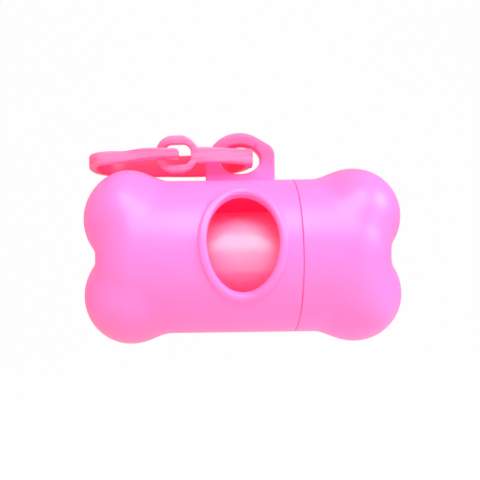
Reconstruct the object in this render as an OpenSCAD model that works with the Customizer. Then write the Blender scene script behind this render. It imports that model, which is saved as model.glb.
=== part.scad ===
// Bone-shaped dispenser for a roll of pet waste bags, with a snap ring for a leash.
// The bone lies along X and its window faces -Y. The origin is the centre of the
// eye in the hanging lug, on top of the barrel.

/* [Bone shells] */
// Overall length of the bone over its end lobes
bone_len = 84; // [80:1:90]
// Diameter of the straight barrel
barrel_d = 41.2; // [40.6:0.2:43]
// Wall thickness of both moulded shells
wall = 1.5; // [1.3:0.1:1.8]
// Height of a lobe's centre above or below the barrel's axis
lobe_rise = 9.9; // [9:0.1:11]
// Half length of a lobe, along the bone
lobe_half_len = 12.6; // [12:0.1:13.4]
// Half depth of a lobe, front to back
lobe_half_depth = 18.2; // [17:0.1:19]
// Half height of a lobe
lobe_half_height = 13.3; // [12.6:0.1:14]
// How far the dished middle of each end lies behind the tips of the lobes
end_dish = 5; // [4:0.1:6]
// Rounding of the barrel's end inside the dish
end_round = 11; // [9:0.5:12]
// Fillet where a lobe swells out of the barrel
lobe_fillet = 2.2; // [1.6:0.1:3]
// Fillet in the valley between the two lobes of an end
valley_fillet = 2.4; // [1.6:0.1:3.4]

/* [Screw joint] */
// Place of the seam between body and cap, measured from the middle of the bone
seam_x = 13.5; // [12.5:0.5:14.5]
// Gap left at the seam when the cap is fully home
seam_gap = 0.15; // [0.1:0.05:0.3]
// Length of the threaded neck
neck_len = 9.6; // [9.2:0.2:10.4]
// Wall of the neck
neck_wall = 1.1; // [0.9:0.1:1.3]
// Height of a thread ridge
thread_depth = 0.55; // [0.4:0.05:0.6]
// Width of a thread ridge at its root
thread_width = 1.6; // [1.3:0.1:1.7]
// Advance of the cap in one turn
thread_pitch = 4; // [4:0.25:4.5]
// Radial clearance between a ridge and the wall that it faces
thread_clearance = 0.25; // [0.2:0.05:0.35]

/* [Window] */
// Width of the egg-shaped window
window_w = 17.2; // [15:0.2:19]
// Height of the window's blunt upper half, above its widest line
window_up = 11.2; // [10:0.2:11.6]
// Height of the window's narrower lower half
window_down = 13; // [11:0.2:13.4]
// Height of the window's widest line above the barrel's axis
window_z = 3.9; // [3:0.1:4.6]
// Place of the window's middle along the bone
window_x = -0.3; // [-1:0.1:1]
// Width of the rolled bead round the window
bead_w = 2.1; // [1.6:0.1:2.4]
// Height of the bead above the barrel
bead_h = 0.8; // [0.5:0.1:1]

/* [Hanging lug] */
// Width of the lug
lug_w = 18.8; // [18:0.2:20]
// Height of the lug above the barrel
lug_h = 12.9; // [12.4:0.1:13.4]
// Thickness of the lug
lug_t = 4; // [3.4:0.1:4.2]
// Width of the lug's eye
eye_w = 10.9; // [10.7:0.1:11.6]
// Height of the lug's eye
eye_h = 7.5; // [7.4:0.1:8]
// Height of the eye's centre above the barrel
eye_rise = 5.5; // [5.3:0.1:5.8]
// Softening of the lug's edges
lug_soft = 0.5; // [0.3:0.1:0.7]

/* [Snap ring] */
// Length of the ring, from its nose to its left bend
ring_len = 43.6; // [42:0.2:46]
// How far the nose stands past the middle of the lug's eye
ring_nose = 3; // [2.6:0.1:3.2]
// How far the bow swings out behind the lug
ring_back = 13.8; // [13:0.2:15]
// How far the front arms stand in front of the lug's middle
ring_front = 6.4; // [6.2:0.1:6.8]
// Thickness of the ring's band
band_t = 1.8; // [1.5:0.1:1.9]
// Height of the band at its left bend
band_h = 4.1; // [3.8:0.1:4.3]
// Rise of the band's top edge per millimetre towards the back
band_slope = 0.16; // [0.08:0.01:0.18]
// Droop of the ring's free end, an angle
ring_droop = 1.1; // [0:0.1:1.2]
// Gap between the ring's lower edge at its nose and the top of the lobes
ring_lift = 1.3; // [1.1:0.1:1.5]
// Width of the ring's catch eye
catch_w = 10.8; // [10.4:0.2:11.4]
// Height of the catch eye
catch_h = 10; // [9.4:0.2:10.6]
// Width of the catch eye's upper and lower bars
catch_bar = 2.3; // [2:0.1:2.5]
// Width of the catch eye's bar on the nose's side
catch_side_bar = 1.7; // [1.5:0.1:2]
// Distance of the catch eye's middle from the nose
catch_from_nose = 19.6; // [19:0.2:20.4]
// Height of the hook arm at its tip
arm_tip_h = 2.8; // [2.5:0.1:3]
// Width of the hook that goes into the catch eye
hook_w = 2.4; // [2:0.1:2.8]
// Gap between the hook arm and the catch eye in front of which it passes
hook_gap = 0.3; // [0.2:0.05:0.4]

/* [Bag roll] */
// Diameter of the full roll of bags
roll_d = 29; // [27:0.5:29.5]
// Length of the roll
roll_len = 58; // [54:1:60]
// Outer diameter of the cardboard core
core_d = 12; // [10:0.5:14]
// Wall of the core
core_wall = 1; // [0.8:0.1:1.4]
// Running clearance of the bags on the core
core_clearance = 0.05; // [0.03:0.01:0.1]
// Thickness of the outermost wrap, the leading bag
wrap_t = 0.35; // [0.25:0.05:0.5]
// Angle that the leading bag covers before its free edge
wrap_angle = 335; // [300:5:345]
// Gap between the roll and the neck's lip that it rests on
roll_gap = 0.2; // [0.15:0.05:0.35]

/* [Hidden] */

body_colour = [1.0, 0.55, 0.93];
clip_colour = [1.0, 0.50, 0.75];
film_colour = [1.0, 0.80, 0.90];
card_colour = [0.80, 0.68, 0.52];

half_len = bone_len / 2;
barrel_r = barrel_d / 2;
bore_r = barrel_r - wall;
lobe_x = half_len - lobe_half_len;
barrel_half = half_len - end_dish;
lobe_top = lobe_rise + lobe_half_height;

// The faceted ends start here, where the section is still a plain circle
end_plane = lobe_x - lobe_half_len * 0.8;
end_sides = 64;
ring_angles = [8, 16, 24, 32, 40, 46, 52, 58, 64, 70, 76, 82, 90];
inner_sides = 40;
inner_angles = [15, 30, 42, 52, 62, 72, 90];
search_steps = 18;
plane_step = 0.02;

neck_r = bore_r - thread_depth - thread_clearance;
neck_bore_r = neck_r - neck_wall;
neck_end = seam_x + neck_len;
shoulder_t = 2.2;
edge_break = 0.25;
thread_start = seam_x + 2.3;
thread_steps = 24;
body_turns = (neck_end - thread_width / 2 - edge_break - thread_start) / thread_pitch;
cap_thread_start = thread_start - thread_pitch / 2;
cap_first_turn = (seam_x + seam_gap + edge_break + thread_width / 2 - cap_thread_start) / thread_pitch;
cap_last_turn = (end_plane - edge_break - thread_width / 2 - cap_thread_start) / thread_pitch;

eye_z = barrel_r + eye_rise;
lug_z = barrel_r + lug_h;

roll_r = roll_d / 2;
roll_z = -(neck_bore_r - roll_r - roll_gap);
// The roll's rim stops where the rounding inside the cap's end closes on it at any turn of the cap
rim_reach = neck_bore_r - roll_gap + 0.3 - (barrel_r - end_round);
roll_x1 = barrel_half - end_round + sqrt((end_round - wall) ^ 2 - rim_reach ^ 2);
roll_x0 = roll_x1 - roll_len;

window_sides = 60;
bead_rings = 72;

ring_base = lobe_top + ring_lift;
ring_mid_x = ring_nose - ring_len / 2;
bow_y = -1;
arm_y = -(ring_front + hook_gap + band_t / 2);
catch_x = ring_nose - catch_from_nose;
catch_z = ring_base + 0.5 + band_h / 2;
catch_y = -ring_front + band_t / 2;
arm_root_x = ring_nose - ring_len + 5;
bend_x = arm_root_x - 0.5;
arm_gap = 0.1;
front_step = 0.5;
arm_dip = 0.7;

// Everything is drawn on the barrel's axis and then hung from the lug's eye
module hung() translate([0, 0, -eye_z]) children();

// Smooth union of two distances
function blend(a, b, k) = let (h = max(k - abs(a - b), 0) / k) min(a, b) - h * h * k / 4;

// Near distance from a point to a lobe, an ellipsoid centred at height z0
function lobe(p, z0) =
    let (r = [lobe_half_len, lobe_half_depth, lobe_half_height],
         q = [p.x - lobe_x, p.y, p.z - z0],
         near = norm([q.x / r.x, q.y / r.y, q.z / r.z]),
         steep = norm([q.x / (r.x * r.x), q.y / (r.y * r.y), q.z / (r.z * r.z)]))
    near * (near - 1) / max(steep, 0.0001);

// Distance from a point to the barrel with its rounded end
function barrel(p) =
    let (out = norm([p.y, p.z]) - (barrel_r - end_round),
         along = p.x - (barrel_half - end_round))
    min(max(out, along), 0) + norm([max(out, 0), max(along, 0)]) - end_round;

// Distance from a point to the skin of a bone's end
function skin(p) =
    blend(blend(lobe(p, lobe_rise), lobe(p, -lobe_rise), valley_fillet), barrel(p), lobe_fillet);

// Length of a ray from the end plane's centre to the skin, or to depth below it
function reach(d, depth, low, high, n) =
    n == 0 ? (low + high) / 2
    : let (m = (low + high) / 2)
      skin([end_plane, 0, 0] + m * d) + depth < 0
      ? reach(d, depth, m, high, n - 1) : reach(d, depth, low, m, n - 1);

function ray(polar, turn) = [cos(polar), sin(polar) * cos(turn), sin(polar) * sin(turn)];

// Radius of a dome's base: the skin a hair inside the barrel's, the hollow a hair outside the bore's
function base_radius(depth, sides) =
    depth == 0 ? barrel_r - plane_step : (barrel_r - depth + plane_step) / cos(180 / sides);

// Points of a bone's end: the tip, then rings down to the barrel at the end plane
function end_points(depth, sides, angles) = concat(
    [[end_plane, 0, 0] + reach([1, 0, 0], depth, 0, bone_len, search_steps) * [1, 0, 0]],
    [for (a = angles, i = [0 : sides - 1])
        let (d = ray(a, 360 * i / sides))
        a == 90 ? [end_plane, 0, 0] + base_radius(depth, sides) * d
        : [end_plane, 0, 0] + reach(d, depth, 0, bone_len, search_steps) * d]);

// Triangles of a dome with one tip, rings of points and a flat base
function dome_faces(sides, rings) = concat(
    [for (i = [0 : sides - 1]) [0, 1 + i, 1 + (i + 1) % sides]],
    [for (r = [0 : rings - 2], i = [0 : sides - 1])
        let (a = 1 + r * sides + i, b = 1 + r * sides + (i + 1) % sides)
        each [[a, a + sides, b + sides], [a, b + sides, b]]],
    [[for (i = [sides - 1 : -1 : 0]) 1 + (rings - 1) * sides + i]]);

function flip(faces) = [for (f = faces) [for (i = [len(f) - 1 : -1 : 0]) f[i]]];

module end_dome(depth, sides, angles)
    polyhedron(end_points(depth, sides, angles), flip(dome_faces(sides, len(angles))), convexity = 6);

// Hollow end of the bone, open at the end plane
module end_shell() difference() {
    end_dome(0, end_sides, ring_angles);
    end_dome(wall, inner_sides, inner_angles);
}

// Turned part about X from points of distance along X and radius
module turned(points) rotate([0, 90, 0]) rotate([0, 0, 180])
    rotate_extrude($fn = 96) polygon([for (p = points) [p[1], p[0]]]);

// Corners of a thread ridge's section at an angle: root sunk in the wall at r, crest towards side
function ridge_ring(x, r, side, turn) =
    [for (c = [[-0.64, -0.5], [-0.22, 1], [0.22, 1], [0.64, -0.5]])
        let (rr = r + side * thread_depth * c[1])
        [x + thread_width * c[0], rr * cos(turn), rr * sin(turn)]];

// Helical ridge on a wall of radius r, from one turn count to another
module ridge(x0, r, side, first, last) {
    steps = ceil((last - first) * thread_steps);
    n = 4;
    points = [for (s = [0 : steps])
        let (t = first + (last - first) * s / steps)
        each ridge_ring(x0 + thread_pitch * t, r, side, 360 * t)];
    sides = [for (s = [0 : steps - 1], i = [0 : n - 1])
        let (a = s * n + i, b = s * n + (i + 1) % n)
        each [[a, b, b + n], [a, b + n, a + n]]];
    ends = [[for (i = [n - 1 : -1 : 0]) i], [for (i = [0 : n - 1]) steps * n + i]];
    faces = concat(sides, ends);
    polyhedron(points, side > 0 ? faces : flip(faces), convexity = 4);
}

// Egg outline of the window seen from the front, grown by a margin
function egg(turn, grow) =
    let (up = sin(turn) > 0)
    [window_x + (window_w / 2 + grow) * cos(turn),
     window_z + ((up ? window_up : window_down) + grow) * sin(turn)];

module window_cut() rotate([90, 0, 0])
    linear_extrude(barrel_d) polygon([for (i = [0 : window_sides - 1]) egg(360 * i / window_sides, 0)]);

// Section of the bead at one place: outward is across the bead, normal stands off the barrel
function bead_ring(turn) =
    let (c = egg(turn, bead_w * 0.42),
         e = egg(turn, bead_w * 0.42 + 1),
         seat = [c.x, -sqrt(barrel_r * barrel_r - c.y * c.y), c.y],
         normal = [0, seat.y, seat.z] / barrel_r,
         raw = [e.x - c.x, 0, e.y - c.y],
         outward = raw - (raw * normal) * normal,
         across = outward / norm(outward))
    [for (k = [0 : 7])
        let (a = -25 + 230 * k / 7)
        seat + across * (bead_w / 2) * cos(a) + normal * bead_h * sin(a)];

module bead() {
    n = 8;
    points = [for (i = [0 : bead_rings - 1]) each bead_ring(360 * i / bead_rings)];
    faces = [for (i = [0 : bead_rings - 1], k = [0 : n - 1])
        let (a = i * n + k, b = i * n + (k + 1) % n,
             c = ((i + 1) % bead_rings) * n + (k + 1) % n, d = ((i + 1) % bead_rings) * n + k)
        each [[a, b, c], [a, c, d]]];
    polyhedron(points, faces, convexity = 6);
}

// Outline of the lug: an arch with a fuller shoulder on the cap's side
function arc(c, r, from, to, n) = [for (i = [0 : n]) let (a = from + (to - from) * i / n) c + r * [cos(a), sin(a)]];

function lug_outline(inset) =
    let (arch_r = lug_w * 0.49, shoulder_r = lug_w * 0.17,
         arch = [-lug_w / 2 + arch_r, lug_z - arch_r],
         shoulder = [lug_w / 2 - shoulder_r, lug_z - lug_h * 0.47],
         apart = shoulder - arch,
         lean = atan2(apart.y, apart.x) + acos((arch_r - shoulder_r) / norm(apart)),
         foot = bore_r + 0.3)
    concat([[-lug_w / 2 + inset, foot], [lug_w / 2 - inset, foot]],
        arc(shoulder, shoulder_r - inset, 0, lean, 8),
        arc(arch, arch_r - inset, lean, 180, 20));

module lug_slab(inset, thick) rotate([90, 0, 0]) linear_extrude(thick, center = true) difference() {
    polygon(lug_outline(inset));
    polygon([for (i = [0 : 47])
        [(eye_w / 2 + inset) * cos(7.5 * i), eye_z + (eye_h / 2 + inset) * sin(7.5 * i)]]);
}

module lug() {
    lug_slab(0, lug_t - 2 * lug_soft);
    lug_slab(lug_soft * 0.3, lug_t - lug_soft);
    lug_slab(lug_soft * 0.8, lug_t);
}

// Straight barrel, shoulder and neck of the body
module body_barrel() turned([
    [-end_plane - plane_step, bore_r],
    [-end_plane - plane_step, barrel_r],
    [seam_x - edge_break, barrel_r],
    [seam_x, barrel_r - edge_break],
    [seam_x, neck_r],
    [neck_end - edge_break, neck_r],
    [neck_end, neck_r - edge_break],
    [neck_end, neck_bore_r],
    [seam_x - shoulder_t, neck_bore_r],
    [seam_x - shoulder_t - (bore_r - neck_bore_r), bore_r]]);

module bone_body() color(body_colour) hung() {
    difference() {
        union() {
            body_barrel();
            mirror([1, 0, 0]) end_shell();
            bead();
            lug();
            ridge(thread_start, neck_r, 1, 0, body_turns);
        }
        window_cut();
    }
}

module cap_barrel() turned([
    [seam_x + seam_gap + edge_break, barrel_r],
    [end_plane + plane_step, barrel_r],
    [end_plane + plane_step, bore_r],
    [seam_x + seam_gap, bore_r],
    [seam_x + seam_gap, barrel_r - edge_break]]);

module bone_cap() color(body_colour) hung() {
    cap_barrel();
    end_shell();
    ridge(cap_thread_start, bore_r, -1, cap_first_turn, cap_last_turn);
}

// Plain tube about the roll's axis with its rims softened
module roll_tube(x0, x1, r_in, r_out, soft) hung() translate([0, 0, roll_z]) turned([
    [x0, r_in],
    [x0, r_out - soft],
    [x0 + soft, r_out],
    [x1 - soft, r_out],
    [x1, r_out - soft],
    [x1, r_in]]);

module roll_core() color(card_colour)
    roll_tube(roll_x0, roll_x1, core_d / 2 - core_wall, core_d / 2, 0.2);

module bag_roll() color(film_colour)
    roll_tube(roll_x0 + 0.6, roll_x1 - 0.6, core_d / 2 + core_clearance, roll_r - wrap_t, 0.8);

// Outermost wrap, with a free edge that stops short of a full turn
module leading_bag() color(film_colour) hung() translate([0, 0, roll_z]) rotate([0, 90, 0])
    rotate_extrude(angle = wrap_angle, $fn = 96)
        translate([roll_r - wrap_t, roll_x0 + 2]) square([wrap_t, roll_len - 4]);

// Point of the ring's bow: a round right half and a squarer left half
function bow(turn) =
    let (a = (ring_len - band_t) / 2, b = ring_back - band_t / 2 - bow_y,
         power = cos(turn) > 0 ? 1 : 0.78,
         c = abs(cos(turn)) ^ power, s = abs(sin(turn)) ^ power)
    [ring_mid_x + sign(cos(turn)) * a * c, bow_y + b * s];

// Centre line of the rigid part of the ring, from the catch eye round to the arm's root
function frame_line() = concat(
    [[catch_x + catch_w / 2 - 0.8, catch_y],
     [ring_nose - band_t / 2 - 3.6, catch_y + 0.5],
     [ring_nose - band_t / 2 - 0.4, catch_y + 1.2],
     [ring_nose - band_t / 2 + 0.3, catch_y + 2],
     [ring_nose - band_t / 2 + 0.1, bow_y - 1]],
    [for (i = [0 : 30]) bow(6 * i)],
    [for (i = [1 : 8])
        let (a = 180 + 11.25 * i)
        [bend_x + (bend_x - (ring_nose - ring_len + band_t / 2)) * cos(a),
         bow_y + (bow_y - arm_y) * sin(a)]],
    [[arm_root_x, arm_y]]);

// Closed outline of a band of one thickness on both sides of a centre line
function side_of(line, i, off) =
    let (a = line[max(i - 1, 0)], b = line[min(i + 1, len(line) - 1)], t = (b - a) / norm(b - a))
    line[i] + off * [-t.y, t.x];

function band_outline(line, thick) = concat(
    [for (i = [0 : len(line) - 1]) side_of(line, i, thick / 2)],
    [for (i = [len(line) - 1 : -1 : 0]) side_of(line, i, -thick / 2)]);

// Side view of the band: its lower edge steps up in front, its top edge rises behind
module band_heights() rotate([90, 0, 90]) linear_extrude(3 * ring_len, center = true) polygon([
    [-ring_front - 8, ring_base + front_step],
    [bow_y - 3, ring_base + front_step],
    [bow_y - 1, ring_base],
    [ring_back + 2, ring_base],
    [ring_back + 2, ring_base + band_h + band_slope * (ring_back + 2 - bow_y)],
    [bow_y, ring_base + band_h],
    [-ring_front - 8, ring_base + band_h]]);

// Upright rectangle about the origin with rounded corners
module soft_corners(w, h, r, cuts) polygon([
    for (q = [0 : 3], i = [0 : cuts])
        let (a = 90 * q + 90 * i / cuts, sx = q == 0 || q == 3 ? 1 : -1, sy = q < 2 ? 1 : -1)
        [sx * (w / 2 - r) + r * cos(a), sy * (h / 2 - r) + r * sin(a)]]);

// Catch eye: rounded outside, with the corners of its opening cut
module catch_eye() translate([catch_x, catch_y, catch_z]) rotate([90, 0, 0])
    linear_extrude(band_t, center = true) difference() {
        soft_corners(catch_w, catch_h, catch_w * 0.4, 5);
        translate([(catch_bar - catch_side_bar) / 2, 0])
            soft_corners(catch_w - catch_bar - catch_side_bar, catch_h - 2 * catch_bar, catch_bar * 0.6, 1);
    }

// The ring droops about its nose
module drooped() translate([ring_nose, 0, ring_base]) rotate([0, -ring_droop, 0])
    translate([-ring_nose, 0, -ring_base]) children();

module clip_frame() color(clip_colour) hung() drooped() {
    intersection() {
        translate([0, 0, ring_base - 1]) linear_extrude(3 * band_h) polygon(band_outline(frame_line(), band_t));
        band_heights();
    }
    catch_eye();
}

// Hook arm: a springy strip, lower near its root, with a hook into the catch eye
module clip_arm() color(clip_colour) hung() drooped() {
    tip_x = catch_x + hook_w / 2 - 0.6;
    root_x = arm_root_x + arm_gap;
    way = tip_x - root_x;
    top = ring_base + band_h;
    tip_low = top - arm_tip_h;
    soft = arm_tip_h * 0.3;
    translate([0, arm_y + band_t / 2, 0]) rotate([90, 0, 0]) linear_extrude(band_t) polygon([
        [root_x, ring_base + front_step],
        [root_x + way * 0.6, tip_low + 0.1],
        [tip_x - soft, tip_low],
        [tip_x, tip_low + soft],
        [tip_x, top - soft],
        [tip_x - soft, top],
        [root_x + way * 0.5, top],
        [root_x + way * 0.36, top - arm_dip],
        [root_x + way * 0.24, top - arm_dip],
        [root_x, top - 0.1]]);
    translate([tip_x - hook_w, arm_y, tip_low + soft / 2])
        cube([hook_w * 0.9, -arm_y + catch_y + band_t / 2 + 0.4, arm_tip_h - soft]);
}

bone_body();
bone_cap();
roll_core();
bag_roll();
leading_bag();
clip_frame();
clip_arm();
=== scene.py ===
"""Looks and stage for the bone-shaped dispenser of pet waste bags and its snap ring.

Sizes are in millimetres about the barrel's axis, as the part's source has them, and become
metres hung from the lug's eye when a mesh is made.
"""

import logging
import math
from dataclasses import dataclass
from enum import Enum

import bmesh
import bpy
import numpy as np
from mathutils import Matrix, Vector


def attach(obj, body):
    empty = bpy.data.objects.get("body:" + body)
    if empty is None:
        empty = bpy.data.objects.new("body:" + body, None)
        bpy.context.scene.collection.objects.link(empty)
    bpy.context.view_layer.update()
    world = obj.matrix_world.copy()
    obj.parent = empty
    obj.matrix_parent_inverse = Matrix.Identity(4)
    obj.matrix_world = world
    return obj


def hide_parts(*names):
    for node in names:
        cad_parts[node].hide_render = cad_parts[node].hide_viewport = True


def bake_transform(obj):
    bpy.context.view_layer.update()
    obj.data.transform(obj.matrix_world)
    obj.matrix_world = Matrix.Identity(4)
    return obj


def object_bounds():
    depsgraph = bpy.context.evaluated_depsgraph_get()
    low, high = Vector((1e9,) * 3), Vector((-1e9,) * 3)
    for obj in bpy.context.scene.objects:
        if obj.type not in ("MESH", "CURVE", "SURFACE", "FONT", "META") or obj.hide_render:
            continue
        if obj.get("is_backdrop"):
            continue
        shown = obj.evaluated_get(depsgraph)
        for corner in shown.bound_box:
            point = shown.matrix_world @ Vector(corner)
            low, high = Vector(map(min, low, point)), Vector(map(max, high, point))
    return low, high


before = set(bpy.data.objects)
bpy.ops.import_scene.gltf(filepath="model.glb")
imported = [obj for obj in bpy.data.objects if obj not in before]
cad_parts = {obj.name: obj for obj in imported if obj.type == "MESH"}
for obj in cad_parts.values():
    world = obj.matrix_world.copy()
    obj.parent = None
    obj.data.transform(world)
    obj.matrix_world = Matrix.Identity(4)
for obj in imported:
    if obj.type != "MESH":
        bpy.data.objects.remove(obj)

log = logging.getLogger("bag_dispenser")

EYE_HEIGHT = 26.1
METRE = 0.001
WELD = 1e-7
PARALLEL = 1e-12
HAIR = 1e-9
MIX_COLOURS = (6, 7)
QUARTER = np.radians([0, 22.5, 45, 67.5, 90])

Pair = tuple[float, float]
Triple = tuple[float, float, float]
Colour = Triple
Socket = bpy.types.NodeSocket
Box = tuple[tuple[float, ...], tuple[float, ...]]
Edges = tuple[np.ndarray, np.ndarray]


class End(Enum):
    """The two ends of the bone, as the sign of X that they lie at."""

    BODY = -1
    CAP = 1


class Slot(Enum):
    """Material slots of the record."""

    SHELL = "shell"
    RING = "ring"
    FILM = "film"
    CARD = "card"


class Effect(Enum):
    """Shader groups that several finishes share."""

    MOULDING = "Moulded grain"
    HANDLING = "Handling scuffs"
    STREAKS = "Melt streaks"
    # The drift group carries painted shade on the shell's lower left, the ring's back band and the film's
    # bottom, and a deeper pink on the lug.
    DRIFT = "Tint drift and painted shade"


class Form:
    """Points and faces gathered for one mesh, in millimetres."""

    def __init__(self) -> None:
        """Starts with nothing in it."""
        self.points: list[np.ndarray] = []
        self.faces: list[tuple[int, ...]] = []
        self.count = 0

    def add_points(self, points: np.ndarray) -> int:
        """Adds points and gives the index of the first.

        Args:
            points: array of places, three numbers each.

        Returns:
            Index of the first point added.
        """
        first = self.count
        rows = np.asarray(points, float).reshape(-1, 3)
        self.points.append(rows)
        self.count += len(rows)
        return first

    def add_grid(
        self, grid: np.ndarray, closed_rows: bool = False, closed_columns: bool = True,
        start_tip: np.ndarray | None = None, end_tip: np.ndarray | None = None,
    ) -> None:
        """Adds a skin of four-sided faces over a grid of points.

        Args:
            grid: array of rows by columns by three.
            closed_rows: whether the last row joins the first.
            closed_columns: whether the last column joins the first.
            start_tip: point that closes the first row as a fan.
            end_tip: point that closes the last row as a fan.
        """
        rows, columns = grid.shape[:2]
        first = self.add_points(grid)
        for r in range(rows if closed_rows else rows - 1):
            for c in range(columns if closed_columns else columns - 1):
                below, right = (r + 1) % rows, (c + 1) % columns
                self.faces.append((
                    first + r * columns + c, first + r * columns + right,
                    first + below * columns + right, first + below * columns + c,
                ))
        for tip, row in ((start_tip, 0), (end_tip, rows - 1)):
            if tip is not None:
                middle = self.add_points(tip)
                edge = first + row * columns
                self.faces += [(middle, edge + c, edge + (c + 1) % columns) for c in range(columns)]

    def add_capped(self, grid: np.ndarray) -> None:
        """Adds a tube of rows, each end closed as a fan about its middle."""
        self.add_grid(grid, start_tip=grid[0].mean(0), end_tip=grid[-1].mean(0))

    def add_mesh(self, mesh: bpy.types.Mesh) -> None:
        """Adds a mesh that make_piece made, taking it back to millimetres.

        Args:
            mesh: mesh in metres, hung from the lug's eye.
        """
        spots = np.array([v.co for v in mesh.vertices]) / METRE + (0, 0, EYE_HEIGHT)
        first = self.add_points(spots)
        self.faces += [tuple(first + v for v in face.vertices) for face in mesh.polygons]

    def make_piece(self, name: str, crease: float = 40.0) -> bpy.types.Object:
        """Makes the mesh object, with its normals outward and smooth below the crease angle.

        Args:
            name: name of the object.
            crease: angle in degrees above which an edge stays sharp.

        Returns:
            The object, linked to the scene.
        """
        mesh = bpy.data.meshes.new(name)
        spots = (np.vstack(self.points) - (0, 0, EYE_HEIGHT)) * METRE
        mesh.from_pydata(spots.tolist(), [], self.faces)
        work = bmesh.new()
        work.from_mesh(mesh)
        bmesh.ops.remove_doubles(work, verts=work.verts, dist=WELD)
        bmesh.ops.recalc_face_normals(work, faces=work.faces)
        work.to_mesh(mesh)
        work.free()
        mesh.shade_smooth()
        mesh.set_sharp_from_angle(angle=math.radians(crease))
        piece = bpy.data.objects.new(name, mesh)
        bpy.context.scene.collection.objects.link(piece)
        return piece



def turns(count: int, start: float = 0.0) -> np.ndarray:
    """Gives angles in radians spread evenly over one turn."""
    return start + np.arange(count) * 2 * math.pi / count


def smooth(t: np.ndarray) -> np.ndarray:
    """Eases a share from 0 to 1, level at both ends."""
    t = np.clip(t, 0, 1)
    return t * t * (3 - 2 * t)


def about(x: float, y: float, places: tuple[Pair, ...]) -> list[Pair]:
    """Shifts places that are given from a corner to where that corner lies."""
    return [(x + dx, y + dy) for dx, dy in places]


def rings_about_x(places: np.ndarray, angles: np.ndarray) -> np.ndarray:
    """Turns distances along X and radii about X into a grid of rings at the angles."""
    x = np.repeat(places[:, :1], len(angles), axis=1)
    return np.stack([x, places[:, 1:] * np.cos(angles), places[:, 1:] * np.sin(angles)], axis=-1)


def soft_union(a: np.ndarray, b: np.ndarray, k: float) -> np.ndarray:
    """Joins two distances with a fillet of size k."""
    h = np.maximum(k - np.abs(a - b), 0) / k
    return np.minimum(a, b) - h * h * k / 4


def spoke_lengths(a: np.ndarray, angles: np.ndarray) -> np.ndarray:
    """Measures rays from the origin to a closed outline.

    Args:
        a: corners of the outline, two numbers each.
        angles: directions of the rays in radians.

    Returns:
        Length of each ray.
    """
    edge = np.roll(a, -1, axis=0) - a
    lengths = np.full(len(angles), np.inf)
    for i, angle in enumerate(angles):
        ray = np.array([math.cos(angle), math.sin(angle)])
        cross = ray[0] * edge[:, 1] - ray[1] * edge[:, 0]
        meets = np.abs(cross) >= PARALLEL
        safe = np.where(meets, cross, 1.0)
        along = (a[:, 0] * edge[:, 1] - a[:, 1] * edge[:, 0]) / safe
        part = (a[:, 0] * ray[1] - a[:, 1] * ray[0]) / safe
        hit = meets & (part >= -HAIR) & (part <= 1 + HAIR) & (along > 0)
        if hit.any():
            lengths[i] = along[hit].min()
    return lengths


def add_plate(
    form: Form, middle: Triple, spokes: np.ndarray, outer: np.ndarray, inner: np.ndarray,
    thick: float, soft: float,
) -> None:
    """Adds an upright plate with an opening and with rounded edges.

    Args:
        form: the mesh that it joins.
        middle: the point that both outlines are measured from.
        spokes: angles that they are measured at.
        outer: distances of the outer outline.
        inner: distances of the opening's outline.
        thick: thickness of the plate.
        soft: radius of its rounded edges.
    """
    rows = []
    for out, side, reach in ((1, -1, outer), (1, 1, outer), (-1, 1, inner), (-1, -1, inner)):
        for a in QUARTER if out * side < 0 else QUARTER[::-1]:
            away = reach - out * soft * (1 - math.sin(a))
            depth = side * (thick / 2 - soft * (1 - math.cos(a)))
            flat = np.stack([away * np.cos(spokes), away * np.sin(spokes)], axis=-1)
            rows.append(np.insert(flat, 1, depth, axis=1))
    form.add_grid(np.array(rows) + middle, closed_rows=True)


def keep_inside(piece: bpy.types.Object, box: Box) -> None:
    """Moves points that stand a hair past the CAD solids' box back onto it.

    Args:
        piece: the mesh object.
        box: lower and upper corners of the box.
    """
    points = np.empty(3 * len(piece.data.vertices))
    piece.data.vertices.foreach_get("co", points)
    inside = np.clip(points.reshape(-1, 3), *box)
    piece.data.vertices.foreach_set("co", inside.ravel())
    piece.data.update()


def dress_piece(
    piece: bpy.types.Object, material: bpy.types.Material, body: str, nodes: tuple[str, ...]
) -> None:
    """Gives a piece its finish, its body and the solid that it stands for.

    Args:
        piece: the mesh object.
        material: its finish.
        body: the body that it rides on.
        nodes: the CAD nodes that it replaces.
    """
    piece.data.materials.clear()
    piece.data.materials.append(material)
    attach(piece, body)
    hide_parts(*nodes)
    log.info("%s rides on %s, %d points", piece.name, body, len(piece.data.vertices))


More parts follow.
